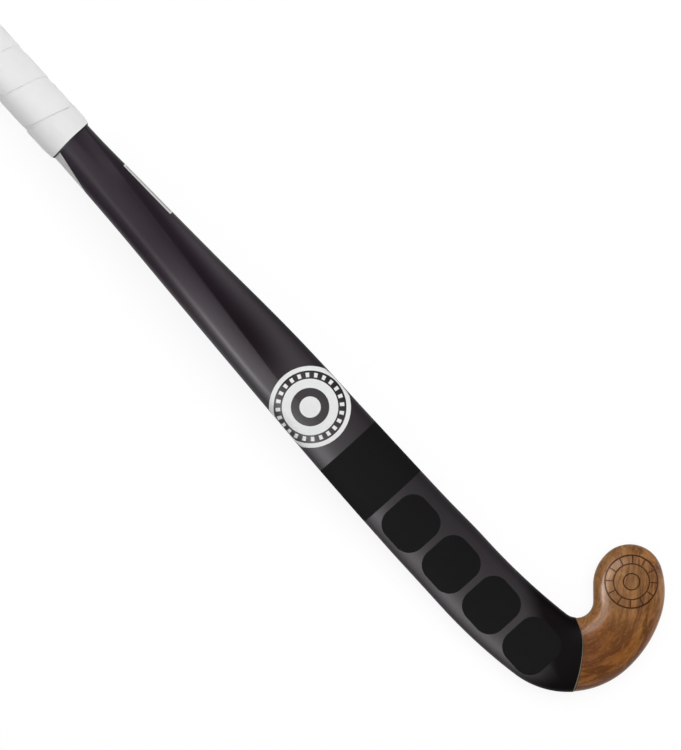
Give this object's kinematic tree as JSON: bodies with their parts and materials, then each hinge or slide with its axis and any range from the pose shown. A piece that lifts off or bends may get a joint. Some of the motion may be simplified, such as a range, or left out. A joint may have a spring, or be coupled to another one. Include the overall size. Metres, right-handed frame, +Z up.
{
  "type": "indoor hockey stick",
  "caption": "Indoor hockey stick with a wooden J-shaped hook, a black fibre sleeve over the bowed shaft, a laminated cane handle and a white wound grip.",
  "frame": {"origin": "centre of the bounding box's base, on the surface that the stick lies on, face down", "axes": "+X along the shaft towards the hook, +Y towards the toe, +Z up, away from the flat playing face"},
  "size_m": [0.8888, 0.1228, 0.05],
  "materials": {
    "varnished_mulberry": "clear gloss varnish over figured brown wood",
    "painted_fibre": "satin purple-black paint over a woven fibre and resin sleeve",
    "cane": "sanded, unvarnished",
    "damping_rubber": "matte",
    "underlay_foam": "matte closed-cell foam",
    "grip_strip": "soft matte synthetic chamois",
    "white_tape": "smooth stretch tape",
    "black_tape": "smooth",
    "cap_rubber": "moulded, matte"
  },
  "bodies": {
    "root": {"mulberry_head": "varnished_mulberry", "fibre_sleeve": "painted_fibre", "cane_stave_inner_toe": "cane", "cane_stave_outer_toe": "cane", "cane_stave_inner_heel": "cane", "cane_stave_outer_heel": "cane", "rubber_strip_centre": "damping_rubber", "rubber_strip_toe": "damping_rubber", "rubber_strip_heel": "damping_rubber", "butt_cap": "cap_rubber", "grip_underlay": "underlay_foam", "grip_wrap": "grip_strip", "grip_finishing_tape": "white_tape", "grip_edge_tape": "black_tape"}
  },
  "joints": []
}
